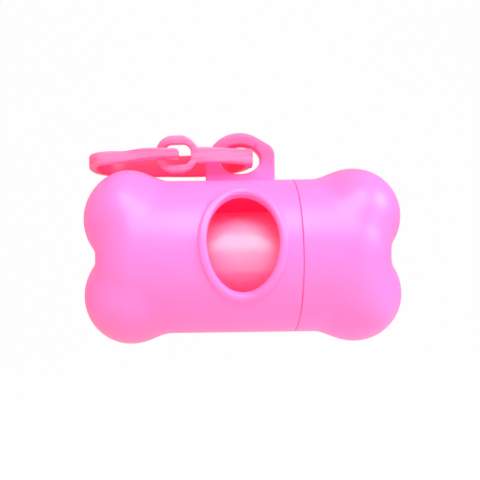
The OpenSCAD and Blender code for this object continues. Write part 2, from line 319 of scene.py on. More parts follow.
@dataclass(frozen=True)
class BoneForm:
    """Skin of the bone, shared by the body and the cap."""

    half_len: float = 42.0
    barrel_r: float = 20.6
    wall: float = 1.5
    lobe_rise: float = 9.9
    lobe_half: Triple = (12.6, 18.2, 13.3)
    end_dish: float = 5.0
    end_round: float = 11.0
    lobe_fillet: float = 2.2
    valley_fillet: float = 2.4
    swell: float = 0.45
    swell_x: Pair = (-30.6, 11.2)
    swell_z: Pair = (4.0, 16.0)
    end_plane: float = 19.32
    longest_ray: float = 60.0
    least_slope: float = 1e-4
    halvings: int = 34
    columns: int = 160
    rings: int = 60

    @property
    def bore_r(self) -> float:
        """Inner radius of the barrel."""
        return self.barrel_r - self.wall

    @property
    def columns_at(self) -> np.ndarray:
        """Angles of the columns that every ring shares."""
        return turns(self.columns)

    def lobe(self, p: np.ndarray, rise: float) -> np.ndarray:
        """Near distance to one lobe.

        Args:
            p: points.
            rise: height of the lobe's centre.

        Returns:
            Distances.
        """
        half = np.array(self.lobe_half)
        q = p - (self.half_len - half[0], 0, rise)
        near = np.linalg.norm(q / half, axis=-1)
        steep = np.linalg.norm(q / half**2, axis=-1)
        return near * (near - 1) / np.maximum(steep, self.least_slope)

    def skin(self, p: np.ndarray) -> np.ndarray:
        """Distance to the skin of the cap's end.

        Args:
            p: points.

        Returns:
            Distances, below zero inside.
        """
        out = np.hypot(p[..., 1], p[..., 2]) - (self.barrel_r - self.end_round)
        along = p[..., 0] - (self.half_len - self.end_dish - self.end_round)
        barrel = np.minimum(np.maximum(out, along), 0) - self.end_round
        barrel += np.hypot(np.maximum(out, 0), np.maximum(along, 0))
        lobes = soft_union(
            self.lobe(p, self.lobe_rise), self.lobe(p, -self.lobe_rise), self.valley_fillet
        )
        return soft_union(lobes, barrel, self.lobe_fillet)

    def dome(self, end: End, depth: float) -> tuple[np.ndarray, np.ndarray]:
        """Finds the skin of an end, or a skin below it.

        Args:
            end: which end.
            depth: how far below the outer skin.

        Returns:
            The tip, and the rings from the tip to the barrel.
        """
        polar = np.linspace(0, math.pi / 2, self.rings + 1)[:, None]
        angles = self.columns_at[None, :]
        ray = np.stack([
            np.cos(polar) + 0 * angles, np.sin(polar) * np.cos(angles), np.sin(polar) * np.sin(angles)
        ], axis=-1)
        start = np.array([self.end_plane, 0, 0])
        low, high = np.zeros(ray.shape[:2]), np.full(ray.shape[:2], self.longest_ray)
        for _ in range(self.halvings):
            mid = (low + high) / 2
            inside = self.skin(start + mid[..., None] * ray) + depth < 0
            low, high = np.where(inside, mid, low), np.where(inside, high, mid)
        points = start + low[..., None] * ray
        points[..., 0] *= end.value
        points[..., 2] += self.fullness(points)
        return points[0, 0], points[1:]

    def fullness(self, points: np.ndarray) -> np.ndarray:
        """How much the upper left lobe stands above its fellows.

        Args:
            points: places on the skin.

        Returns:
            Lift of each place.
        """
        (middle, reach), (foot, full) = self.swell_x, self.swell_z
        near = np.clip(np.abs(points[..., 0] - middle) / reach, 0, 1)
        up = smooth((points[..., 2] - foot) / (full - foot))
        return self.swell * np.cos(near * math.pi / 2) ** 2 * up


@dataclass(frozen=True)
class Thread:
    """Helical ridge of the screw joint."""

    radius: float
    side: int
    start: float
    last_turn: float
    first_turn: float = 0.0
    pitch: float = 4.0
    width: float = 1.6
    height: float = 0.55
    fade: float = 0.12
    steps: int = 72
    flank: tuple[Pair, ...] = ((-0.6, -0.4), (-0.42, 0.25), (-0.3, 0.75), (-0.16, 1.0))

    def add_to(self, form: Form) -> None:
        """Adds the ridge, fading in and out at its ends.

        Args:
            form: the mesh that it joins.
        """
        count = int((self.last_turn - self.first_turn) * self.steps)
        t = np.linspace(self.first_turn, self.last_turn, count)
        ease = np.minimum(np.minimum(t - t[0], t[-1] - t) / self.fade, 1.0)
        along, rise = np.array(self.flank + tuple((-x, y) for x, y in self.flank[::-1])).T
        lift = rise[None, :] * np.where(rise > 0, ease[:, None], 1.0) * self.height
        r = self.radius + self.side * lift
        x = self.start + self.pitch * t[:, None] + self.width * along[None, :]
        a = 2 * math.pi * t[:, None]
        grid = np.stack([x, r * np.cos(a), r * np.sin(a)], axis=-1)
        form.add_capped(grid)


@dataclass(frozen=True)
class Window:
    """Egg-shaped window with its rolled bead."""

    width: float = 17.2
    up: float = 11.2
    down: float = 13.0
    height: float = 3.9
    middle_x: float = -0.3
    cut_y: Pair = (-30.0, -8.0)
    bead_w: float = 2.1
    bead_h: float = 0.8
    bead_seat: float = 0.42
    bead_arc: tuple[float, float, int] = (-8.0, 180.0, 15)
    inner_lip: tuple[Pair, ...] = (
        (0.0, -0.4), (0.02, -0.8), (0.1, -1.2), (0.28, -1.5),
        (0.55, -1.66), (0.85, -1.66), (1.1, -1.45), (1.9, -0.7),
    )
    spokes: int = 168

    def egg(self, angles: np.ndarray, grow: float) -> np.ndarray:
        """Outline seen from the front.

        Args:
            angles: places round the outline, in radians.
            grow: margin outside the window.

        Returns:
            Points of X and Z.
        """
        reach = np.where(np.sin(angles) > 0, self.up, self.down) + grow
        return np.stack([
            self.middle_x + (self.width / 2 + grow) * np.cos(angles), self.height + reach * np.sin(angles)
        ], axis=-1)

    def cutter(self) -> bpy.types.Object:
        """Prism that cuts the window through the front wall."""
        outline = self.egg(turns(self.spokes), 0.0)
        rows = [np.insert(outline, 1, y, axis=1) for y in self.cut_y]
        tips = [np.array([self.middle_x, y, self.height]) for y in self.cut_y]
        form = Form()
        form.add_grid(np.array(rows), start_tip=tips[0], end_tip=tips[1])
        return form.make_piece("window_cutter")

    def add_bead(self, form: Form, bone: BoneForm) -> None:
        """Adds the rolled bead, which turns in over the cut edge of the wall.

        Args:
            form: the mesh that it joins.
            bone: the barrel that it stands on.
        """
        angles = turns(self.spokes)
        seat_grow = self.bead_w * self.bead_seat
        flat = self.egg(angles, seat_grow)
        away = self.egg(angles, seat_grow + 1) - flat
        seat = np.stack([flat[:, 0], -np.sqrt(bone.barrel_r**2 - flat[:, 1] ** 2), flat[:, 1]], axis=-1)
        normal = seat * (0, 1, 1) / bone.barrel_r
        raw = np.insert(away, 1, 0, axis=1)
        across = raw - (raw * normal).sum(-1, keepdims=True) * normal
        across /= np.linalg.norm(across, axis=-1, keepdims=True)
        half = self.bead_w / 2
        over = np.radians(np.linspace(*self.bead_arc))
        section = [(half * math.cos(a), self.bead_h * math.sin(a)) for a in over]
        section += [(u - half, v) for u, v in self.inner_lip]
        rows = [seat + u * across + v * normal for u, v in section]
        form.add_grid(np.array(rows), closed_rows=True)


@dataclass(frozen=True)
class Lug:
    """Hanging lug on top of the barrel."""

    width: float = 18.8
    height: float = 12.9
    thick: float = 4.0
    arch: float = 0.49
    shoulder: float = 0.17
    shoulder_drop: float = 0.47
    foot: float = 0.3
    eye: Pair = (10.9, 7.8)
    eye_lift: float = 0.15
    soft: float = 0.7
    spokes: int = 180
    first_spoke: float = 0.01
    shoulder_steps: int = 24
    arch_steps: int = 60
    crease: tuple[Pair, Pair] = ((4.3, 3.3), (5.1, 4.55))
    crease_bow: float = 0.25
    crease_span: tuple[float, float, int] = (0.02, 0.98, 15)
    crease_profile: tuple[Pair, ...] = (
        (0.3, -0.1), (0.26, 0.02), (0.14, 0.2), (0.0, 0.26),
        (-0.2, 0.22), (-0.6, 0.08), (-0.9, 0.0), (-0.9, -0.1),
    )

    def outline(self, bone: BoneForm) -> np.ndarray:
        """Corners of the arch with its fuller shoulder on the cap's side.

        Args:
            bone: the barrel that it stands on.

        Returns:
            Points of X and Z, counter-clockwise.
        """
        top = bone.barrel_r + self.height
        arch_r, shoulder_r = self.width * self.arch, self.width * self.shoulder
        arch = np.array([-self.width / 2 + arch_r, top - arch_r])
        shoulder = np.array([self.width / 2 - shoulder_r, top - self.height * self.shoulder_drop])
        apart = shoulder - arch
        lean = math.atan2(apart[1], apart[0]) + math.acos((arch_r - shoulder_r) / np.linalg.norm(apart))
        foot = bone.bore_r + self.foot
        points = [(-self.width / 2, foot), (self.width / 2, foot)]
        for middle, radius, start, stop, count in (
            (shoulder, shoulder_r, 0.0, lean, self.shoulder_steps),
            (arch, arch_r, lean, math.pi, self.arch_steps),
        ):
            points += [
                (middle[0] + radius * math.cos(a), middle[1] + radius * math.sin(a))
                for a in np.linspace(start, stop, count)
            ]
        return np.array(points)

    def add_to(self, form: Form, bone: BoneForm) -> None:
        """Adds the lug.

        Args:
            form: the mesh that it joins.
            bone: the barrel that it stands on.
        """
        z = EYE_HEIGHT + self.eye_lift
        angles = turns(self.spokes, self.first_spoke)
        outer = spoke_lengths(self.outline(bone) - (0, z), angles)
        a, b = self.eye[0] / 2, self.eye[1] / 2
        inner = a * b / np.hypot(b * np.cos(angles), a * np.sin(angles))
        add_plate(form, (0.0, 0.0, z), angles, outer, inner, self.thick, self.soft)
        self.add_crease(form)

    def add_crease(self, form: Form) -> None:
        """Adds the fine line that the mould leaves across the lug's shoulder.

        Args:
            form: the mesh that it joins.
        """
        start, end = np.array(self.crease)
        ahead = end - start
        across = np.array([-ahead[1], ahead[0]]) / np.linalg.norm(ahead)
        t = np.linspace(*self.crease_span)[:, None]
        swell = np.sqrt(np.sin(math.pi * t))
        off, rise = np.array(self.crease_profile).T
        off = off * swell + self.crease_bow * np.sin(math.pi * t)
        grid = np.stack([
            start[0] + ahead[0] * t + across[0] * off,
            -self.thick / 2 - np.where(rise > 0, rise * swell, rise),
            EYE_HEIGHT + start[1] + ahead[1] * t + across[1] * off,
        ], axis=-1)
        form.add_capped(grid)


@dataclass(frozen=True)
class Shells:
    """The two moulded shells of the bone with the screw joint between them."""

    bone: BoneForm = BoneForm()
    window: Window = Window()
    lug: Lug = Lug()
    seam_x: float = 13.5
    seam_gap: float = 0.15
    seam_soft: float = 0.2
    lip_shares: tuple[Pair, ...] = ((0.4, 0.09), (0.09, 0.4), (0.0, 1.0))
    neck_len: float = 9.6
    neck_wall: float = 1.1
    neck_drop: float = 0.8
    neck_root: tuple[Pair, ...] = ((0.0, 0.3), (0.09, 0.09), (0.3, 0.0))
    neck_rim: tuple[Pair, ...] = ((-0.35, 0.0), (-0.1, -0.1), (0.0, -0.35))
    neck_mouth: tuple[Pair, ...] = ((0.0, 0.25), (-0.25, 0.0))
    cap_mouth: tuple[Pair, ...] = ((0.0, 0.2), (0.2, 0.0))
    shoulder_t: float = 2.2
    bore_end: float = -6.0
    bore_margin: float = 1.0
    neck_thread: float = 2.3
    cap_thread: float = 0.3
    thread_margin: float = 1.05
    barrel_rows: int = 30
    cap_rows: int = 6
    crease: float = 32.0

    def lip(self, x: float, way: int) -> list[Pair]:
        """Rounds the barrel's rim at a plane, with its shell beyond it (way 1) or before it (way -1)."""
        soft = self.seam_soft
        return [(x + way * soft * along, self.bone.barrel_r - soft * down) for along, down in self.lip_shares]

    def start_shell(self, end: End, turned: list[Pair]) -> Form:
        """Starts a shell with its dome, its turned part and the wall inside.

        Args:
            end: which end.
            turned: distance and radius of each ring from the dome round to the bore.

        Returns:
            The closed shell.
        """
        tip, skin = self.bone.dome(end, 0.0)
        inner_tip, inner = self.bone.dome(end, self.bone.wall)
        rings = rings_about_x(np.array(turned), self.bone.columns_at)
        shell = Form()
        shell.add_grid(np.concatenate([skin, rings, inner[::-1]]), start_tip=tip, end_tip=inner_tip)
        return shell

    def build_body(self) -> bpy.types.Object:
        """Builds the long shell with its neck, window, bead and lug."""
        bone, seam = self.bone, self.seam_x
        r, bore = bone.barrel_r, bone.bore_r
        neck_r = bore - self.neck_drop
        neck_bore = neck_r - self.neck_wall
        neck_end = seam + self.neck_len
        shoulder = seam - self.shoulder_t
        turned = [(x, r) for x in np.linspace(-bone.end_plane, seam - self.seam_soft, self.barrel_rows)[1:]]
        turned += self.lip(seam, -1) + about(seam, neck_r, self.neck_root)
        turned += about(neck_end, neck_r, self.neck_rim) + about(neck_end, neck_bore, self.neck_mouth)
        turned += [(shoulder, neck_bore), (shoulder - (bore - neck_bore), bore), (self.bore_end, bore)]
        blank = self.start_shell(End.BODY, turned).make_piece("body_blank")
        cutter = self.window.cutter()
        cut = blank.modifiers.new("window", "BOOLEAN")
        cut.object, cut.operation, cut.solver = cutter, "DIFFERENCE", "EXACT"
        cut_mesh = bpy.data.meshes.new_from_object(
            blank.evaluated_get(bpy.context.evaluated_depsgraph_get())
        )
        whole = Form()
        whole.add_mesh(cut_mesh)
        for spare in (blank, cutter):
            bpy.data.objects.remove(spare)
        self.window.add_bead(whole, bone)
        self.lug.add_to(whole, bone)
        start = seam + self.neck_thread
        Thread(neck_r, 1, start, (neck_end - self.thread_margin - start) / Thread.pitch).add_to(whole)
        return whole.make_piece("bone_body_shell", self.crease)

    def build_cap(self) -> bpy.types.Object:
        """Builds the screw-off end with its inner thread."""
        r, bore, mouth = self.bone.barrel_r, self.bone.bore_r, self.seam_x + self.seam_gap
        plane = self.bone.end_plane
        turned = [(x, r) for x in np.linspace(plane, mouth + self.seam_soft, self.cap_rows)[1:]]
        turned += self.lip(mouth, 1) + about(mouth, bore, self.cap_mouth) + [(plane - self.bore_margin, bore)]
        shell = self.start_shell(End.CAP, turned)
        start = self.seam_x + self.cap_thread
        first = (mouth + self.thread_margin - start) / Thread.pitch
        last = (plane - self.thread_margin - start) / Thread.pitch
        Thread(bore, -1, start, last, first).add_to(shell)
        return shell.make_piece("bone_cap_shell", self.crease)

    def dress(self, plastic: bpy.types.Material, box: Box) -> None:
        """Builds both shells and dresses them.

        Args:
            plastic: their finish.
            box: lower and upper corners of the box that they stay in.
        """
        for shell, body, node in (
            (self.build_body(), "housing", "bone_body"), (self.build_cap(), "cap", "bone_cap"),
        ):
            keep_inside(shell, box)
            dress_piece(shell, plastic, body, (node,))


@dataclass(frozen=True)
class SnapRing:
    """The D-shaped snap ring: its rigid band with the catch eye, and its hook arm."""

    length: float = 43.6
    nose: float = 3.0
    nose_out: float = 0.3
    nose_drop: float = 0.8
    back: float = 13.8
    back_lift: tuple[Pair, ...] = (
        (-40.6, 0.0), (-38.5, 0.25), (-35.0, 0.4), (-22.0, 0.42), (-15.0, 0.1), (-8.0, -0.25), (3.0, -0.3),
    )
    front: float = 6.4
    front_step: float = 0.5
    step_span: Pair = (1.0, 2.0)
    strip_start: tuple[Pair, ...] = ((-1.3, 0.0), (2.0, 0.12))
    strip_end: tuple[Pair, ...] = ((-4.0, 0.6), (-0.9, 1.0), (0.0, 1.1), (0.03, 1.7), (0.0, 2.4))
    strip_turn: Pair = (-0.1, -1.1)
    strip_taper: Pair = (-9.0, 11.0)
    strip_top: Pair = (0.4, -0.3)
    bow_y: float = -1.0
    bow_power: float = 0.78
    bow_steps: int = 73
    band_t: float = 1.8
    band_h: float = 4.1
    base: float = 24.5
    slope: float = 0.175
    droop: float = 1.1
    sag_from: float = -27.0
    sag_reach: float = 13.0
    sag_drop: Pair = (0.15, 0.65)
    soft: float = 0.45
    soft_end: tuple[Pair, ...] = ((1.0, 0.0), (0.62, 0.08), (0.3, 0.3), (0.08, 0.62), (0.0, 1.0))
    soft_ease: float = 0.45
    least_mitre: float = 0.6
    catch: Pair = (11.3, 9.7)
    catch_round: float = 4.4
    catch_cut: float = 1.32
    catch_bar: float = 2.3
    catch_side_bar: float = 2.2
    catch_low_bar: float = 2.0
    catch_lift: float = 0.8
    catch_from_nose: float = 19.43
    catch_steps: tuple[int, int] = (10, 4)
    catch_spokes: int = 120
    catch_start: float = 0.013
    eye_round: float = 0.75
    least_turn: float = 0.004
    arm_inset: float = 4.5
    arm_ease: float = 1.2
    ease_steps: int = 7
    bend_steps: int = 17
    arm_steps: int = 65
    tip_h: float = 2.8
    tip_back: float = 0.75
    tip_round: float = 1.15
    tip_fill: float = 0.97
    tip_trim: float = 0.4
    hook_w: float = 2.4
    hook_share: float = 0.9
    hook_seat: float = 0.55
    hook_gap: float = 0.3
    hook_past: float = 0.4
    hook_top: float = 0.45
    hook_low: float = 0.4
    hook_steps: int = 8
    crease: float = 44.0
    arm_profile: tuple[Triple, ...] = (
        (-40.6, 0.0, 4.0), (-37.5, 0.35, 4.0), (-35.6, 0.45, 4.05), (-33.5, 0.5, 4.0),
        (-31.0, 0.62, 3.68), (-29.3, 0.78, 3.6), (-26.5, 1.1, 4.05), (-24.0, 1.35, 4.2),
        (-20.0, 1.45, 4.12), (-16.0, 1.35, 3.85),
    )

    @property
    def catch_middle(self) -> np.ndarray:
        """Middle of the catch eye."""
        return np.array([
            self.nose - self.catch_from_nose, -self.front + self.band_t / 2,
            self.base + self.catch_lift + self.band_h / 2,
        ])

    @property
    def arm_y(self) -> float:
        """Middle plane of the hook arm."""
        return -(self.front + self.hook_gap + self.band_t / 2)

    def bow(self, degrees: np.ndarray) -> np.ndarray:
        """Places on the bow: a round right half and a squarer left half.

        Args:
            degrees: angles round the bow.

        Returns:
            Points of X and Y.
        """
        a, b = (self.length - self.band_t) / 2, self.back - self.band_t / 2 - self.bow_y
        c, s = np.cos(np.radians(degrees)), np.sin(np.radians(degrees))
        power = np.where(c > 0, 1.0, self.bow_power)
        return np.stack([
            self.nose - self.length / 2 + np.sign(c) * a * np.abs(c) ** power,
            self.bow_y + b * np.abs(s) ** power,
        ], axis=-1)

    def band_line(self) -> np.ndarray:
        """Centre line of the rigid band, from the catch eye round to the left bend."""
        catch_x, y, _ = self.catch_middle
        corner_x = self.nose - self.band_t / 2 + self.nose_out
        start = about(catch_x + self.catch[0] / 2, y, self.strip_start)
        start += about(corner_x, y, self.strip_end) + about(corner_x, self.bow_y, (self.strip_turn,))
        return np.concatenate([start, self.bow(np.linspace(0, 180, self.bow_steps))])

    def band_edges(self, line: np.ndarray) -> Edges:
        """Heights of the band's lower and upper edges: lower in front, higher at the back.

        Args:
            line: centre line, points of X and Y.

        Returns:
            Lower and upper heights.
        """
        x, y = line.T
        start, reach = self.strip_taper
        inset, ramp = self.step_span
        toward_nose = np.where(y < self.bow_y, np.clip((x - start) / reach, 0, 1), 0)
        low = self.base + self.front_step * smooth((self.bow_y - inset - y) / ramp)
        low -= self.nose_drop * toward_nose**2
        low += np.where(y > self.bow_y, np.interp(x, *np.array(self.back_lift).T), 0)
        high = self.base + self.band_h + self.slope * np.maximum(y - self.bow_y, 0)
        high += np.where(y < self.bow_y, np.interp(toward_nose, (0, 1), self.strip_top), 0)
        return self.sagged(line, low, high)

    def sagged(self, line: np.ndarray, low: np.ndarray, high: np.ndarray) -> Edges:
        """Lets the edges of the ring's left end hang below the line of the rest."""
        drop = np.outer(self.sag_drop, smooth((self.sag_from - line[:, 0]) / self.sag_reach))
        return low - drop[0], high - drop[1]

    def arm_line(self) -> np.ndarray:
        """Centre line of the left bend and the hook arm, on from the band."""
        left = self.nose - self.length
        bend_x = left + self.arm_inset
        reach = bend_x - (left + self.band_t / 2)
        a = np.radians(np.linspace(180, 270, self.bend_steps))
        bend = np.stack([
            bend_x + reach * np.cos(a), self.bow_y + (self.bow_y - self.arm_y) * np.sin(a)
        ], axis=-1)
        tip = self.catch_middle[0] + self.hook_w / 2 - self.tip_back
        along = bend_x + (tip - bend_x) * np.sin(np.linspace(0, math.pi / 2, self.arm_steps))[1:]
        return np.concatenate([bend, np.stack([along, np.full(len(along), self.arm_y)], axis=-1)])

    def arm_edges(self, line: np.ndarray) -> Edges:
        """Heights of the arm's edges: thinner where it springs, rounded off at its tip.

        Args:
            line: centre line, points of X and Y.

        Returns:
            Lower and upper heights.
        """
        x = line[:, 0]
        at, *profiles = np.array(self.arm_profile).T
        near = np.linspace(-self.arm_ease, self.arm_ease, self.ease_steps)
        low, high = (
            self.base + np.mean([np.interp(x + n, at, heights) for n in near], axis=0)
            for heights in profiles
        )
        high[0] = self.base + self.band_h
        t = np.clip((x - (x[-1] - self.tip_round)) / self.tip_round, 0, self.tip_fill)
        trim = (self.tip_round - self.soft * self.tip_trim) * (1 - np.sqrt(1 - t * t))
        return self.sagged(line, low + trim, high - trim)

    def sweep(self, form: Form, line: np.ndarray, edges: Edges, thick: float, round_start: bool) -> None:
        """Sweeps a rounded upright band along a line.

        Args:
            form: the mesh that it joins.
            line: centre line, points of X and Y.
            edges: heights of the lower and the upper edge at each point.
            thick: thickness of the band.
            round_start: whether the start is rounded off, or else the end.
        """
        leg = np.diff(line, axis=0)
        leg /= np.linalg.norm(leg, axis=-1, keepdims=True)
        before, after = np.vstack([leg[:1], leg]), np.vstack([leg, leg[-1:]])
        ahead = before + after
        ahead /= np.linalg.norm(ahead, axis=-1, keepdims=True)
        side = np.stack([-ahead[:, 1], ahead[:, 0]], axis=-1)
        mitre = 1 / np.maximum((ahead * before).sum(-1), self.least_mitre)
        stations = [(i, 0.0, 0.0) for i in range(len(line))]
        if round_start:
            stations = [(0, inset, back - 1) for inset, back in self.soft_end] + stations[1:]
        else:
            last = [(len(line) - 1, inset, 1 - back) for inset, back in self.soft_end[::-1]]
            stations = stations[:-1] + last
        rows = []
        for i, inset, shift in stations:
            trim = self.soft * inset
            half, foot, head = thick / 2 - trim, edges[0][i] + trim, edges[1][i] - trim
            q = self.soft * (1 - self.soft_ease * inset)
            middle = line[i] + ahead[i] * self.soft * (shift - np.sign(shift))
            ring = []
            for across, up, start in ((1, 1, 0), (-1, 1, 90), (-1, -1, 180), (1, -1, 270)):
                for c in QUARTER + math.radians(start):
                    u = (across * (half - q) + q * math.cos(c)) * mitre[i]
                    z = (head - q if up > 0 else foot + q) + q * math.sin(c)
                    ring.append((*(middle + side[i] * u), z))
            rows.append(ring)
        form.add_capped(np.array(rows))

    def add_catch(self, form: Form) -> None:
        """Adds the catch eye, rounded outside and with the corners of its opening cut.

        Args:
            form: the mesh that it joins.
        """
        w, h = self.catch
        bar, side, low = self.catch_bar, self.catch_side_bar, self.catch_low_bar
        shift = np.array([bar - side, low - bar]) / 2
        outer = self.soft_corners(w, h, self.catch_round, self.catch_steps[0], self.catch_cut) - shift
        inner = self.soft_corners(
            w - bar - side, h - bar - low, bar * self.eye_round, self.catch_steps[1], self.catch_cut
        )
        corners = np.arctan2(inner[:, 1], inner[:, 0]) % (2 * math.pi)
        spokes = np.sort(np.concatenate([corners, turns(self.catch_spokes, self.catch_start)]))
        spokes = spokes[np.append(np.diff(spokes) > self.least_turn, True)]
        reach = [spoke_lengths(outline, spokes) for outline in (outer, inner)]
        middle = self.catch_middle + (shift[0], 0, shift[1])
        add_plate(form, middle, spokes, *reach, self.band_t, self.soft)

    @staticmethod
    def soft_corners(width: float, height: float, radius: float, cuts: int, power: float) -> np.ndarray:
        """Upright rectangle about the origin with rounded corners.

        Args:
            width: its width.
            height: its height.
            radius: radius of its corners.
            cuts: straight pieces in a corner.
            power: how flat the right-hand corners are cut: 1 for a round one, 2 for a straight cut.

        Returns:
            Points counter-clockwise.
        """
        points = []
        for quarter, (sx, sy) in enumerate(((1, 1), (-1, 1), (-1, -1), (1, -1))):
            flat = power if sx > 0 else 1.0
            for a in np.radians(90 * quarter + np.linspace(0, 90, cuts + 1)):
                points.append((
                    sx * (width / 2 - radius + radius * abs(math.cos(a)) ** flat),
                    sy * (height / 2 - radius + radius * abs(math.sin(a)) ** flat),
                ))
        return np.array(points)

    def let_droop(self, form: Form) -> None:
        """Turns a finished form about the nose, so that the ring's free end droops.

        Args:
            form: the mesh to turn.
        """
        a = math.radians(self.droop)
        for rows in form.points:
            x, z = rows[:, 0] - self.nose, rows[:, 2] - self.base
            rows[:, 0] = self.nose + x * math.cos(a) - z * math.sin(a)
            rows[:, 2] = self.base + x * math.sin(a) + z * math.cos(a)

    def build_band(self) -> bpy.types.Object:
        """Builds the rigid band with the catch eye."""
        form = Form()
        line = self.band_line()
        self.sweep(form, line, self.band_edges(line), self.band_t, True)
        self.add_catch(form)
        self.let_droop(form)
        return form.make_piece("snap_ring_band", self.crease)

    def build_arm(self) -> bpy.types.Object:
        """Builds the left bend and the hook arm that springs from it."""
        form = Form()
        line = self.arm_line()
        self.sweep(form, line, self.arm_edges(line), self.band_t, False)
        hook_x = line[-1, 0] - self.hook_w * self.hook_seat
        far = self.catch_middle[1] + self.band_t / 2 + self.hook_past
        depth = np.linspace(self.arm_y, far, self.hook_steps)
        hook = np.stack([np.full_like(depth, hook_x), depth], axis=-1)
        head = np.full_like(depth, self.base + self.band_h - self.hook_top)
        edges = head + self.hook_top + self.hook_low - self.tip_h, head
        self.sweep(form, hook, edges, self.hook_w * self.hook_share, False)
        self.let_droop(form)
        return form.make_piece("snap_ring_arm", self.crease)

    def dress(self, plastic: bpy.types.Material) -> None:
        """Builds the band and its arm and dresses them.

        Args:
            plastic: their finish.
        """
        dress_piece(self.build_band(), plastic, "ring", ("clip_frame",))
        arm = self.build_arm()
        arm.data.materials.append(plastic)
        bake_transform(arm)
        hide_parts("clip_arm")
        log.info("%s springs between the ring and its arm", arm.name)


@dataclass(frozen=True)
class BagRoll:
    """The wound roll of bags with its leading bag."""

    x0: float = -26.44
    x1: float = 31.56
    axis_z: float = -2.5
    radius: float = 14.5
    wrap: float = 0.35
    wrap_inset: float = 2.0
    core_r: float = 6.05
    end_inset: float = 0.6
    end_step: float = 0.12
    windings: int = 22
    soft: float = 0.8
    sink: float = 0.08
    sink_below: float = 0.1
    waves: tuple[tuple[float, int, float], ...] = ((0.05, 3, 0.21), (0.03, 7, -0.5))
    columns: int = 144
    rows: int = 48
    bag_steps: tuple[int, int] = (150, 60)
    cover: float = 335.0
    pucker: float = 0.03
    pucker_run: Pair = (0.21, 2.0)
    pucker_bend: float = 1.4
    pucker_beat: Pair = (0.09, 5.0)
    ripple: float = 0.008
    ripple_run: Pair = (0.9, 9.0)
    skin_drop: float = 0.05
    skin_inner: float = 0.02
    crease: float = 50.0

    def build_roll(self) -> bpy.types.Object:
        """Builds the roll, its ends stepped by the edges of the wound film."""
        columns = turns(self.columns)
        outer = self.radius - self.wrap
        middle = (self.x0 + self.x1) / 2
        half = (self.x1 - self.x0) / 2 - self.end_inset
        ends = np.linspace(self.core_r, outer - self.soft, self.windings)
        face = [(half - self.end_step * (i % 2), r) for i, r in enumerate(ends)]
        round_off = 1 - np.cos(QUARTER), 1 - np.sin(QUARTER)
        face += [(half - self.soft * in_x, outer - self.soft * in_r) for in_x, in_r in zip(*round_off)]
        barrel = [(x, outer) for x in np.linspace(1 + self.soft - half, half - self.soft - 1, self.rows)]
        profile = [(-x, r) for x, r in face] + barrel + face[::-1]
        grid = rings_about_x(np.array(profile) + (middle, 0), columns)
        r = np.hypot(grid[..., 1], grid[..., 2])
        wave = sum(
            depth * np.sin(lobes * columns[None, :] + grid[..., 0] * twist)
            for depth, lobes, twist in self.waves
        )
        sink = np.where(r > outer - self.sink_below, wave - self.sink, 0.0)
        grid[..., 1:] *= ((r + sink) / r)[..., None]
        grid[..., 2] += self.axis_z
        form = Form()
        form.add_grid(grid, closed_rows=True)
        return form.make_piece("wound_bags", self.crease)

    def build_leading_bag(self) -> bpy.types.Object:
        """Builds the outermost wrap, slightly puckered, with its free edge."""
        round_steps, long_steps = self.bag_steps
        a = np.radians(90 - np.linspace(0, self.cover, round_steps))
        x = np.linspace(self.x0 + self.wrap_inset, self.x1 - self.wrap_inset, long_steps)
        grid_a, grid_x = np.meshgrid(a, x, indexing="ij")
        (long, bend), (long_beat, round_beat), (fine, fine_round) = (
            self.pucker_run, self.pucker_beat, self.ripple_run
        )
        folds = np.sin(grid_x * long + self.pucker_bend * np.sin(grid_a * bend))
        folds *= np.sin(grid_a * round_beat + grid_x * long_beat)
        ripples = np.sin(grid_x * fine + grid_a * fine_round)
        skin = self.radius - self.skin_drop + self.ripple * ripples + self.pucker * folds
        back = np.full_like(skin, self.radius - self.wrap + self.skin_inner)
        outside, inside = (
            np.stack([grid_x, r * np.cos(grid_a), r * np.sin(grid_a) + self.axis_z], axis=-1)
            for r in (skin, back)
        )
        grid = np.concatenate([outside, inside[:, ::-1]], axis=1)
        form = Form()
        form.add_grid(grid)
        last = grid.shape[1] - 1
        for first in (0, (len(a) - 1) * (last + 1)):
            for c in range(len(x) - 1):
                form.faces.append((first + c, first + c + 1, first + last - c - 1, first + last - c))
        return form.make_piece("leading_bag_film", self.crease)

    def dress(self, film: bpy.types.Material) -> None:
        """Builds the roll and its leading bag and dresses them in their film."""
        dress_piece(self.build_roll(), film, "roll", ("bag_roll",))
        dress_piece(self.build_leading_bag(), film, "roll", ("leading_bag",))


